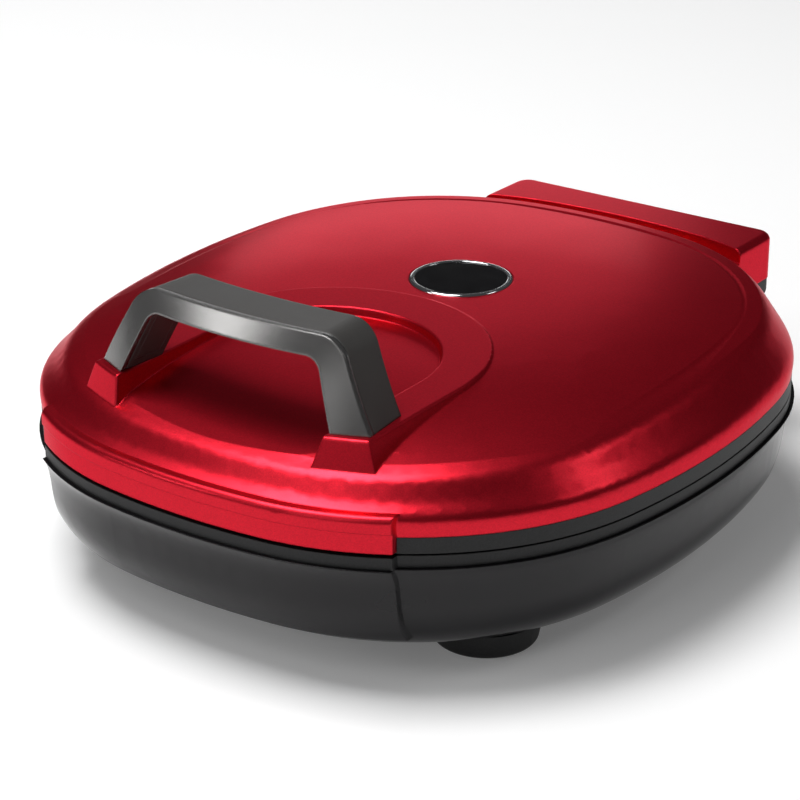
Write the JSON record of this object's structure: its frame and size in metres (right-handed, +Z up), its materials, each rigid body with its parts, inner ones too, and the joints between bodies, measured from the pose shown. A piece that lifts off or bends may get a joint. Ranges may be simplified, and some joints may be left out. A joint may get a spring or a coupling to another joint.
{
  "type": "clamshell griddle",
  "caption": "Rounded electric griddle with two facing heated dishes, a domed hinged lid under a bridge handle, a floating rear hinge and rear rocker switches.",
  "frame": {"origin": "on the table, under the middle of the outline, between the lip of the front and the rear face of the hinge cover", "axes": "+Z up, -Y towards the user and the handle, +Y towards the hinge, +X to the user's right"},
  "size_m": [0.3436, 0.4047, 0.1525],
  "materials": {
    "red_lacquer": "metallic lacquer, glossy",
    "dark_plastic": "satin, fine texture",
    "satin_trim": "satin gunmetal plating",
    "bright_ring": "polished",
    "black_gloss": "glossy",
    "black_matte": "fine moulded texture",
    "nonstick_aluminium": "nonstick coating, satin",
    "sheet_aluminium": "rolled, satin",
    "heater_steel": "heat-tinted tube",
    "bright_steel": "zinc plated",
    "fuse_sleeve": "woven sleeve",
    "nylon": "natural nylon",
    "rubber": "matt",
    "blade_brass": "bright"
  },
  "bodies": {
    "base": {"base_shell": "black_gloss", "base_band": "black_matte", "lower_plate": "nonstick_aluminium", "lower_heater": "heater_steel", "lower_terminals": "bright_steel", "lower_heat_shield": "sheet_aluminium", "lower_plate_screws": "bright_steel", "lower_thermostat": "bright_steel", "lower_thermal_fuse": "fuse_sleeve", "hinge_guides": "black_matte", "guide_screws": "bright_steel", "feet": "black_matte", "foot_pads": "rubber", "foot_screws": "bright_steel", "inlet_housing": "black_matte", "inlet_blades": "blade_brass", "switch_bezels": "black_gloss"},
    "hinge_carrier": {"hinge_posts": "black_matte", "hinge_shaft": "bright_steel", "hinge_spacers": "nylon", "shaft_clips": "bright_steel"},
    "lid": {"badge_disc": "black_gloss", "badge_ring": "bright_ring", "bracket_screws": "bright_steel", "handle_body": "dark_plastic", "handle_screws": "bright_steel", "handle_trim": "satin_trim", "handle_underside": "dark_plastic", "hinge_end_caps": "black_matte", "lid_bracket": "bright_steel", "lid_ring": "black_matte", "lid_ring_screws": "bright_steel", "lid_shell": "red_lacquer", "upper_heat_shield": "sheet_aluminium", "upper_heater": "heater_steel", "upper_plate": "nonstick_aluminium", "upper_shield_screws": "bright_steel", "upper_terminals": "bright_steel", "upper_thermal_fuse": "fuse_sleeve", "upper_thermostat": "bright_steel"},
    "upper_key": {"upper_switch_key": "black_gloss"},
    "lower_key": {"lower_switch_key": "black_gloss"}
  },
  "joints": [
    {"name": "hinge_float", "type": "slide", "parent": "base", "child": "hinge_carrier", "axis": [0, 0, 1], "range_m": [0, 0.018]},
    {"name": "lid_hinge", "type": "hinge", "parent": "hinge_carrier", "child": "lid", "pos_m": [0, 0.18635, 0.088], "axis": [-1, 0, 0], "range_deg": [0, 100]},
    {"name": "upper_key_rock", "type": "hinge", "parent": "base", "child": "upper_key", "pos_m": [0.0295, 0.19435, 0.043], "axis": [1, 0, 0], "range_deg": [0, 16]},
    {"name": "lower_key_rock", "type": "hinge", "parent": "base", "child": "lower_key", "pos_m": [-0.0295, 0.19435, 0.043], "axis": [1, 0, 0], "range_deg": [0, 16]}
  ]
}
